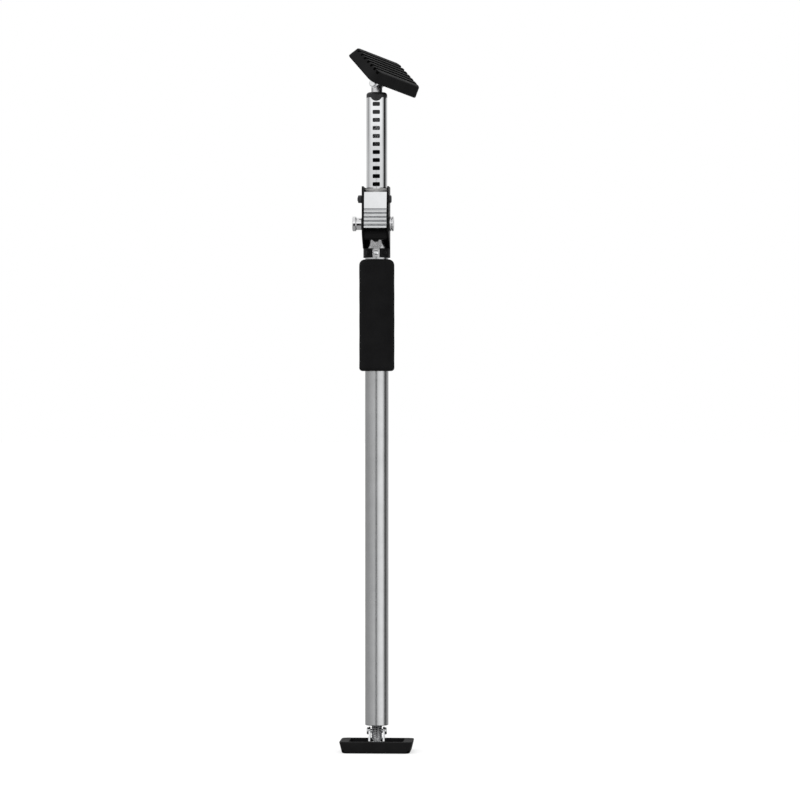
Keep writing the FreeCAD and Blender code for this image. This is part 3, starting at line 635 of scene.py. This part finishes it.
class CEILING_PROP_OT_foam_grip(bpy.types.Operator):
    """Make the foam hand grip"""

    bl_idname = "ceiling_prop.foam_grip"
    bl_label = "Foam Grip"

    def execute(self, context):
        """Sleeve profile carried round the tube, its outside raised and lowered by slow waves."""
        sizes = context.scene.ceiling_prop_grip
        low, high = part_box("foam_grip")
        outer = high.y
        top, bottom = sizes.top_round, sizes.low_round
        wall = np.linspace(low.z + bottom, high.z - top, 90)
        profile = path(
            (sizes.bore, low.z),
            arc((outer - bottom, low.z + bottom), bottom, -90, 0),
            np.stack([np.full(90, outer), wall], axis=-1)[1:-1],
            arc((outer - top, high.z - top), top, 0, 90, 12),
            (sizes.bore, high.z),
            (sizes.bore, low.z))
        grid = turned(profile, 128)
        angle = np.arange(128) * TURN / 128
        height = grid[..., 2]
        waves = np.sin(3 * angle + 40 * height) + np.sin(210 * height - 2 * angle) - 2
        outside = (profile[:, :1] > sizes.bore + 0.001) * sizes.ripple / 2
        scale = 1 + outside * waves / np.maximum(profile[:, :1], 0.001)
        grid[..., :2] *= scale[..., None]
        piece = surface_object("foam_sleeve", [grid], sharp=60)
        add_piece(piece, finish_of("foam"), "stand", "foam", "foam_grip")
        return {"FINISHED"}


def pad_rows(pads):
    """Places across the pad, from -1 to 1: even steps for the ribs, closer ones round the corners."""
    even = np.linspace(-1, 1, pads.ribs * 26 + 1)
    share = pads.corner / (pads.face[1] / 2)
    bend = 1 - share + share * np.sin(np.linspace(0, math.pi / 2, 12))
    return np.unique(np.round(np.concatenate([even, bend, -bend]), 6))


def row_end(across, half, corner):
    """Half length of a rounded rectangle at a distance across it."""
    over = np.clip(np.abs(across) - (half[1] - corner), 0, corner)
    return half[0] - corner + np.sqrt(np.maximum(corner ** 2 - over ** 2, 0))


def pad_ring(rows, columns, half, corner):
    """Points round a rounded rectangle: its right, far, left and near sides."""
    across = rows * half[1]
    ends = row_end(across, half, corner)
    side = columns[1:-1] * (half[0] - corner)
    right = np.stack([ends, across], axis=-1)
    far = np.stack([side[::-1], np.full_like(side, half[1])], axis=-1)
    left = np.stack([-ends[::-1], across[::-1]], axis=-1)
    near = np.stack([side, np.full_like(side, -half[1])], axis=-1)
    return np.concatenate([right, far, left, near])


def groove_height(across, pads):
    """Height of the gripping face across the pad: nought on the ribs, the groove's depth between them."""
    pitch = pads.face[1] / pads.ribs
    flank = 0.001
    away = np.abs((across + pads.face[1] / 2 + pitch / 2) % pitch - pitch / 2)
    inside = np.abs(across) < pads.face[1] / 2 - pitch / 2
    slope = np.clip((pads.groove_width / 2 + flank / 2 - away) / flank, 0, 1)
    return pads.groove_depth * inside * slope * slope * (3 - 2 * slope)


def pad_surfaces(pads):
    """Rounds and sheets of a pad on the floor.

    Rings of a rounded rectangle go up the tapered wall, over the rim and down into the tray; two sheets
    of rows close the ribbed face and the tray's floor.
    """
    rows, columns = pad_rows(pads), np.linspace(-1, 1, 41)
    face, rim = np.array(pads.face) / 2, np.array(pads.rim) / 2
    tray = np.array(pads.tray) / 2
    top, edge, lip, mouth = pads.thickness, pads.edge_round, 0.0012, 0.0008
    corner_growth, tray_corner = 0.001, pads.corner - 0.002
    well_radius, well_depth = 0.0062, 0.0024

    def ring(height, inset, lift=None):
        half = face + (rim - face) * height / top - inset
        flat = pad_ring(rows, columns, half, pads.corner + corner_growth * height / top - 0.5 * inset)
        tall = np.full(len(flat), height) if lift is None else np.maximum(height, lift)
        return np.concatenate([flat, tall[:, None]], axis=-1)

    def tray_ring(height, outset):
        flat = pad_ring(rows, columns, tray + outset, tray_corner + outset)
        return np.concatenate([flat, np.full((len(flat), 1), height)], axis=-1)

    lift = groove_height(pad_ring(rows, columns, face, pads.corner)[:, 1], pads)
    steps = np.radians(np.linspace(0, 90, 7))
    wall = [ring(edge * (1 - math.cos(a)), edge * (1 - math.sin(a)), lift) for a in steps]
    wall += [ring(height, 0, lift) for height in np.linspace(edge, top - lip, 7)[1:]]
    wall += [ring(top - lip + lip * math.sin(a), lip * (1 - math.cos(a))) for a in steps[1:]]
    wall += [tray_ring(top - mouth * (1 - math.cos(a)), mouth * (1 - math.sin(a))) for a in steps]
    wall += [tray_ring(pads.floor, 0)]

    def sheet(half, corner, height):
        across = rows * half[1]
        along = columns[None, :] * row_end(across, half, corner)[:, None]
        return np.stack([along, across[:, None] + 0 * along, height(along, across[:, None])], axis=-1)

    start = face - edge

    def ribbed(x, y):
        return groove_height(y * face[1] / start[1], pads) + 0 * x

    def with_well(x, y):
        return pads.floor - well_depth * (np.hypot(x, y) < well_radius)

    grip = sheet(start, pads.corner - 0.5 * edge, ribbed)
    bottom = sheet(tray, tray_corner, with_well)
    return [np.stack(wall)], [grip, bottom]


class CEILING_PROP_OT_pads(bpy.types.Operator):
    """Make the ribbed rubber pads of the foot and the head"""

    bl_idname = "ceiling_prop.pads"
    bl_label = "Rubber Pads"

    def execute(self, context):
        """Two like pads, the head's moved to its pin; faces down in the grooves get painted shade, a near-black
        colour in place of the rubber's.
        """
        pads = context.scene.ceiling_prop_pads
        for end in ("foot", "head"):
            piece = surface_object(end + "_rubber", *pad_surfaces(pads))
            mesh = piece.data
            centres = np.empty(3 * len(mesh.polygons))
            mesh.polygons.foreach_get("center", centres)
            centres = centres.reshape(-1, 3)
            within = (np.abs(centres[:, :2]) < np.array(pads.face) / 2 - 0.0004).all(axis=1)
            deep = (centres[:, 2] > 0.2 * pads.groove_depth) & (centres[:, 2] < 1.1 * pads.groove_depth)
            if end == "head":
                points = np.empty(3 * len(mesh.vertices))
                mesh.vertices.foreach_get("co", points)
                mesh.vertices.foreach_set("co", to_head(points.reshape(-1, 3), pads.head_turn).ravel())
                mesh.update()
            add_piece(piece, finish_of("rubber"), end, "rubber", end + "_pad")
            # Painted shade: faces down in the grooves take the near-black groove colour
            mesh.materials.append(finish_of("groove_rubber"))
            mesh.polygons.foreach_set("material_index", (within & deep).astype(np.int32))
        return {"FINISHED"}


class CEILING_PROP_OT_lever_fixings(bpy.types.Operator):
    """Make the lever's bolt and lock nut"""

    bl_idname = "ceiling_prop.lever_fixings"
    bl_label = "Lever Bolt and Nut"

    def execute(self, context):
        """Hexagons with turned chamfers; a thread shows past the nut."""
        sizes = context.scene.ceiling_prop_fixings
        centre = np.array(JOINTS["lever_swing"]["pos_m"]) * (0, 1, 1)
        reach = sizes.flats / math.sqrt(3)
        half = sizes.flats / 2
        low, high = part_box("lever_bolt")
        nut_low, nut_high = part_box("lever_nut")
        seat, tall = -nut_high.x, nut_high.x - nut_low.x
        head = high.x - seat
        crown, dish, thread_depth = seat + head, 0.0003, 0.0004
        hexagon = path(
            (0, seat), (half, seat), (reach, seat + 0.0002), (reach, crown - 0.0008),
            (half * 0.93, crown), (half * 0.6, crown), (half * 0.5, crown - dish), (0, crown - dish))
        shank = path(
            (0, -seat - tall), (sizes.bolt_radius, -seat - tall), (sizes.bolt_radius, seat + 0.0005),
            (0, seat + 0.0005))
        tip = threaded(sizes.bolt_radius, thread_depth, sizes.thread_pitch, seat + tall - 0.002, -low.x)
        bolt = surface_object("lever_bolt_hex", [
            lie_along_x(hexagon_turned(hexagon, sizes.flats), centre, 1),
            lie_along_x(turned(shank, 48), centre, 1),
            lie_along_x(tip, centre, -1)])
        add_piece(bolt, finish_of("black_oxide"), "stand", "black_oxide", "lever_bolt")
        bore = sizes.bolt_radius + 0.00002
        collar = seat + tall
        profile = path(
            (bore, seat), (half * 0.98, seat), (reach, seat + 0.0005), (reach, collar - 0.0007),
            (half * 0.97, collar), (bore + 0.0003, collar), (bore, collar - 0.0003), (bore, seat))
        nut = surface_object(
            "lever_nut_hex", [lie_along_x(hexagon_turned(profile, sizes.flats), centre, -1)])
        add_piece(nut, finish_of("black_oxide"), "stand", "black_oxide", "lever_nut")
        return {"FINISHED"}


class CEILING_PROP_OT_knobs(bpy.types.Operator):
    """Make the two release knobs"""

    bl_idname = "ceiling_prop.knobs"
    bl_label = "Release Knobs"

    def execute(self, context):
        """Turned profiles with rounded edges: one long with an end flange, one short with a groove."""
        sizes = context.scene.ceiling_prop_fixings
        centre = np.array(JOINTS["release_turn"]["pos_m"]) * (0, 1, 1)
        body = sizes.knob_body
        low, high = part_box("knob_left")
        near, far, flange = -high.x, -low.x, (high.z - low.z) / 2
        neck = far - sizes.knob_flange
        edge, fillet, crown, dish, clear = 0.0005, 0.0006, 0.0011, 0.0003, 0.0002
        long_profile = path(
            (0, near), arc((body - edge, near + edge), edge, -90, 0, 5),
            straight((body, near + edge + clear), (body, neck - fillet - clear)),
            arc((body + fillet, neck - fillet), fillet, 180, 90, 5),
            arc((flange - edge, neck + edge), edge, -90, 0, 5),
            straight((flange, neck + edge + clear), (flange, far - crown - clear)),
            arc((flange - crown, far - crown), crown, 0, 90, 8),
            (flange * 0.62, far), (flange * 0.55, far - dish), (0, far - dish))
        piece = surface_object("long_knob", [lie_along_x(turned(long_profile), centre, -1)], sharp=50)
        add_piece(piece, finish_of("chrome"), "release", "chrome", "knob_left")
        low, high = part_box("knob_right")
        near, far, flange = low.x, high.x, (high.z - low.z) / 2
        disc, edge, crown = 0.42 * (far - near), 0.0006, 0.0009
        short_profile = path(
            (0, near), arc((flange - edge, near + edge), edge, -90, 0, 6),
            arc((flange - edge, near + disc - edge), edge, 0, 80, 6),
            straight((body, near + disc + clear), (body, far - disc - clear)),
            arc((flange - edge, far - disc + edge), edge, -80, 0, 6),
            arc((flange - crown, far - crown), crown, 0, 90, 8),
            (flange * 0.62, far), (flange * 0.55, far - dish), (0, far - dish))
        piece = surface_object("short_knob", [lie_along_x(turned(short_profile), centre, 1)], sharp=50)
        add_piece(piece, finish_of("chrome"), "release", "chrome", "knob_right")
        return {"FINISHED"}


class CEILING_PROP_OT_pivot_pins(bpy.types.Operator):
    """Make the pivot pins of the two pads"""

    bl_idname = "ceiling_prop.pivot_pins"
    bl_label = "Pivot Pins"

    def execute(self, context):
        """Pin profile with a rounded head at each end, carried round its axis."""
        sizes = context.scene.ceiling_prop_fixings
        pads = context.scene.ceiling_prop_pads
        low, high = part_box("foot_pin")
        end, radius = high.x, (high.z - low.z) / 2
        neck, edge = end - sizes.pin_head, 0.0009
        half = path(
            (sizes.pin_radius, 0), (sizes.pin_radius, neck),
            (radius - 0.0002, neck), (radius, neck + 0.0002),
            arc((radius - edge, end - edge), edge, 0, 90, 8),
            (radius * 0.4, end - 0.0001), (0, end - 0.0001))
        profile = np.concatenate([(half * (1, -1))[::-1], half[1:]])
        grid = lie_along_x(turned(profile, 64), (0, 0, pads.pin_height), 1)
        foot = surface_object("foot_pivot", [grid])
        add_piece(foot, finish_of("bright_zinc"), "foot_swivel", "bright_zinc", "foot_pin")
        head = surface_object("head_pivot", [to_head(grid, 0)])
        add_piece(head, finish_of("bright_zinc"), "head_swivel", "bright_zinc", "head_pin")
        return {"FINISHED"}


class CEILING_PROP_OT_foot_stud(bpy.types.Operator):
    """Make the threaded foot stud"""

    bl_idname = "ceiling_prop.foot_stud"
    bl_label = "Foot Stud"

    def execute(self, context):
        """Screw thread round Z, kept within a ball round the pivot pin below the pin."""
        sizes = context.scene.ceiling_prop_fixings
        pin = context.scene.ceiling_prop_pads.pin_height
        low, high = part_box("foot_stud")
        grid = threaded(high.x, sizes.stud_depth, sizes.stud_pitch, pin - sizes.stud_reach, high.z, 96)
        below = np.minimum(grid[..., 2] - pin, 0)
        most = np.sqrt(np.maximum(sizes.stud_reach ** 2 - below ** 2, 0))
        around = np.hypot(grid[..., 0], grid[..., 1])
        grid[..., :2] *= np.minimum(1, most / np.maximum(around, 1e-9))[..., None]
        piece = surface_object("foot_stud_thread", [grid], sharp=45)
        add_piece(piece, finish_of("stud_zinc"), "stand", "bright_zinc", "foot_stud")
        return {"FINISHED"}


class CEILING_PROP_OT_finishes(bpy.types.Operator):
    """Give every CAD node that still shows its finish"""

    bl_idname = "ceiling_prop.finishes"
    bl_label = "Finishes"

    def execute(self, context):
        slots = {part["node"]: part["material_slot"] for part in frame["record"]["subparts"]}
        slots |= {
            "inner_tube": "bright_tube", "pump_lever": "ridged_zinc", "head_stud": "stud_zinc",
            "housing_rivets": "black_paint"}
        for name, node in frame["nodes"].items():
            node.data.materials.clear()
            node.data.materials.append(finish_of(slots[name]))
        return {"FINISHED"}


# Stage

def add_lamp(name, place, target, size, watts):
    """Soft rectangular lamp that faces a target."""
    lamp = bpy.data.lights.new(name, "AREA")
    lamp.shape = "RECTANGLE"
    lamp.size, lamp.size_y = size
    lamp.energy = watts
    made = bpy.data.objects.new(name, lamp)
    made.location = place
    aim = np.array(target, float) - np.array(place, float)
    made.rotation_mode = "QUATERNION"
    made.rotation_quaternion = Vector(aim).to_track_quat("-Z", "Y")
    made.visible_glossy = False
    bpy.context.scene.collection.objects.link(made)


def add_sun(name, towards, strength, spread_angle):
    """Wide, even light from a direction, for the floor's soft shadow."""
    lamp = bpy.data.lights.new(name, "SUN")
    lamp.energy = strength
    lamp.angle = math.radians(spread_angle)
    made = bpy.data.objects.new(name, lamp)
    made.rotation_mode = "QUATERNION"
    made.rotation_quaternion = Vector(towards).to_track_quat("Z", "Y")
    made.visible_glossy = False
    bpy.context.scene.collection.objects.link(made)


def reflect_only(name, grid, level):
    """Card that only reflections see, with an even level of light."""
    mesh = bpy.data.meshes.new(name)
    rows, columns = grid.shape[:2]
    mesh.from_pydata(grid.reshape(-1, 3).tolist(), [], sheet_faces(rows, columns, 0).tolist())
    material = bpy.data.materials.new(name)
    material.use_nodes = True
    shader = material.node_tree.nodes["Principled BSDF"]
    shader.inputs["Base Color"].default_value = (0, 0, 0, 1)
    shader.inputs["Specular IOR Level"].default_value = 0
    shader.inputs["Emission Color"].default_value = (1, 1, 1, 1)
    shader.inputs["Emission Strength"].default_value = level
    mesh.materials.append(material)
    card = bpy.data.objects.new(name, mesh)
    bpy.context.scene.collection.objects.link(card)
    card.visible_camera = False
    card.visible_diffuse = False
    card.visible_shadow = False
    return mesh, material.node_tree


def upright(start, end, low, high, reach, steps):
    """Grid of a curved upright card between two azimuths, counted from the camera to the right."""
    angle = np.radians(np.linspace(start, end, steps) + VIEW_AZIMUTH)
    ring = reach * np.stack([np.sin(angle), -np.cos(angle)], axis=-1)
    return np.stack([np.concatenate([ring, np.full((steps, 1), z)], axis=-1) for z in (low, high)])


def level_card(height, half):
    """Grid of a level square card."""
    return np.array([[(x, y, height) for x in (-half, half)] for y in (-half, half)], float)


def add_ring(name, low, high, stops):
    """Ring round the prop, seen by reflections alone; its light follows stops of azimuth and level."""
    steps, peak = 121, 1.4
    mesh, tree = reflect_only(name, upright(-180, 180, low, high, 2.0, steps), peak)
    corners = np.empty(len(mesh.loops), dtype=int)
    mesh.loops.foreach_get("vertex_index", corners)
    along = np.stack([corners % steps / (steps - 1), corners // steps], axis=-1)
    mesh.uv_layers.new(name="around").data.foreach_set("uv", along.astype(float).ravel())
    parts = tree.nodes.new("ShaderNodeSeparateXYZ")
    tree.links.new(tree.nodes.new("ShaderNodeTexCoord").outputs["UV"], parts.inputs[0])
    ramp = tree.nodes.new("ShaderNodeValToRGB")
    marks = ramp.color_ramp.elements
    marks.remove(marks[0])
    # The stops go from -180 to 180; the ramp keeps one mark, at its end, for the last of them
    for place, level in stops:
        mark = marks.new((place + 180) / 360) if place < 180 else marks[-1]
        mark.color = (level / peak, level / peak, level / peak, 1)
    tree.links.new(parts.outputs["X"], ramp.inputs["Fac"])
    tree.links.new(ramp.outputs["Color"], tree.nodes["Principled BSDF"].inputs["Emission Color"])


def add_floor():
    """White floor: plain diffuse for light, lifted to white for the camera so that only shadow shows."""
    mesh = bpy.data.meshes.new("floor")
    mesh.from_pydata([(-30, -30, 0), (30, -30, 0), (30, 30, 0), (-30, 30, 0)], [], [(0, 1, 2, 3)])
    material = bpy.data.materials.new("pale floor")
    material.use_nodes = True
    tree = material.node_tree
    shader = tree.nodes["Principled BSDF"]
    shader.inputs["Base Color"].default_value = (0.5, 0.5, 0.5, 1)
    shader.inputs["Roughness"].default_value = 0.9
    shader.inputs["Specular IOR Level"].default_value = 0
    shader.inputs["Emission Color"].default_value = (1, 1, 1, 1)
    rays = tree.nodes.new("ShaderNodeLightPath")
    seen = math_node(tree, "MULTIPLY", rays.outputs["Is Camera Ray"], 0.64)
    tree.links.new(seen, shader.inputs["Emission Strength"])
    mesh.materials.append(material)
    floor = bpy.data.objects.new("floor", mesh)
    bpy.context.scene.collection.objects.link(floor)
    floor.visible_glossy = False


def set_world():
    """White to the camera and in reflections, a plain level of soft light elsewhere."""
    world = bpy.data.worlds.new("studio")
    bpy.context.scene.world = world
    world.use_nodes = True
    tree = world.node_tree
    background = tree.nodes["Background"]
    rays = tree.nodes.new("ShaderNodeLightPath")
    seen = math_node(tree, "MAXIMUM", rays.outputs["Is Camera Ray"], rays.outputs["Is Glossy Ray"])
    seen = math_node(tree, "MAXIMUM", seen, rays.outputs["Is Transmission Ray"])
    tree.links.new(spread(tree, seen, 0.0, 1.0, 0.45, 1.0), background.inputs["Strength"])
    background.inputs["Color"].default_value = (1, 1, 1, 1)


# Light round the prop: azimuth in degrees, from the camera to the right, and level
OUTER_TUBE_LIGHT = (
    (-180, 0.42), (-126, 0.44), (-93, 0.46), (-79, 0.49), (-66, 0.56), (-44, 0.63), (-30, 0.74),
    (-20, 0.72), (-12, 0.66), (-4, 0.62), (3, 0.64), (10, 0.88), (18, 1.10), (30, 1.25), (50, 1.32),
    (62, 1.25), (70, 0.85), (78, 0.35), (86, 0.10), (98, 0.06), (106, 0.16), (114, 0.34), (131, 0.56),
    (180, 0.56))
RATCHET_LIGHT = (
    (-180, 0.66), (-124, 0.64), (-110, 0.50), (-98, 0.52), (-87, 0.68), (-73, 0.76), (0, 0.77),
    (30, 0.82), (60, 0.82), (70, 0.72), (80, 0.30), (88, 0.03), (106, 0.02), (114, 0.20), (125, 0.50),
    (140, 0.66), (180, 0.66))
INNER_TUBE_LIGHT = (
    (-180, 0.60), (-124, 0.60), (-108, 0.35), (-100, 0.35), (-88, 0.68), (-73, 1.03), (-60, 1.08),
    (0, 1.05), (45, 1.06), (58, 1.02), (68, 0.85), (78, 0.35), (88, 0.02), (106, 0.01), (114, 0.15),
    (125, 0.45), (140, 0.66), (180, 0.66))


class CEILING_PROP_OT_studio(bpy.types.Operator):
    """Make the floor, the lamps and the camera at the photograph's angle"""

    bl_idname = "ceiling_prop.studio"
    bl_label = "Studio"

    def execute(self, context):
        scene = context.scene
        scene.view_settings.view_transform = "Standard"
        add_floor()
        set_world()
        middle = (0, 0, 0.45)
        add_lamp("key", (1.5, -1.6, 0.9), middle, (0.7, 1.6), 4.5)
        add_lamp("fill", (-1.7, -1.5, 0.9), middle, (1.4, 1.8), 3)
        add_sun("overhead", (-0.15, -0.3, 1.0), 1.2, 50)
        add_ring("surroundings of the outer tube", -0.6, 0.6, OUTER_TUBE_LIGHT)
        add_ring("surroundings of the ratchet", 0.6, 0.88, RATCHET_LIGHT)
        add_ring("surroundings of the inner tube", 0.88, 1.4, INNER_TUBE_LIGHT)
        reflect_only("dark front", upright(-11, -1, -0.6, 0.78, 1.8, 4), 0.02)
        reflect_only("ceiling", level_card(2.6, 3.0), 0.8)
        reflect_only("ground", level_card(-0.62, 3.0), 0.35)
        view = bpy.data.cameras.new("camera")
        view.lens = 157.5
        view.sensor_width = 36
        view.clip_end = 100
        camera = bpy.data.objects.new("camera", view)
        angle, distance, aside, height = math.radians(VIEW_AZIMUTH), 4.2, 0.0278, 0.422
        camera.location = (
            math.sin(angle) * distance + math.cos(angle) * aside,
            -math.cos(angle) * distance + math.sin(angle) * aside,
            height)
        camera.rotation_euler = (math.pi / 2, 0, angle)
        scene.collection.objects.link(camera)
        scene.camera = camera
        return {"FINISHED"}


class CEILING_PROP_PT_panel(bpy.types.Panel):
    """Pieces, finishes and studio of the ceiling prop"""

    bl_idname = "CEILING_PROP_PT_panel"
    bl_label = "Ceiling Prop"
    bl_space_type = "VIEW_3D"
    bl_region_type = "UI"
    bl_category = "Ceiling Prop"

    def draw(self, context):
        for operator in OPERATORS:
            self.layout.operator(operator.bl_idname)


GROUPS = {
    "ceiling_prop_pads": PadSizes,
    "ceiling_prop_fixings": FixingSizes,
    "ceiling_prop_lever": LeverSizes,
    "ceiling_prop_tubes": TubeSizes,
    "ceiling_prop_grip": GripSizes,
    "ceiling_prop_colours": Colours,
}
OPERATORS = (
    CEILING_PROP_OT_finishes,
    CEILING_PROP_OT_foam_grip,
    CEILING_PROP_OT_pads,
    CEILING_PROP_OT_lever_fixings,
    CEILING_PROP_OT_knobs,
    CEILING_PROP_OT_pivot_pins,
    CEILING_PROP_OT_foot_stud,
    CEILING_PROP_OT_studio,
)
CLASSES = (*GROUPS.values(), *OPERATORS, CEILING_PROP_PT_panel)


def register():
    for made in CLASSES:
        bpy.utils.register_class(made)
    for name, group in GROUPS.items():
        setattr(bpy.types.Scene, name, PointerProperty(type=group))


def unregister():
    for name in GROUPS:
        delattr(bpy.types.Scene, name)
    for made in reversed(CLASSES):
        bpy.utils.unregister_class(made)


def main():
    register()
    bpy.ops.ceiling_prop.finishes()
    bpy.ops.ceiling_prop.foam_grip()
    bpy.ops.ceiling_prop.pads()
    bpy.ops.ceiling_prop.lever_fixings()
    bpy.ops.ceiling_prop.knobs()
    bpy.ops.ceiling_prop.pivot_pins()
    bpy.ops.ceiling_prop.foot_stud()
    bpy.ops.ceiling_prop.studio()


if __name__ == "__main__":
    main()
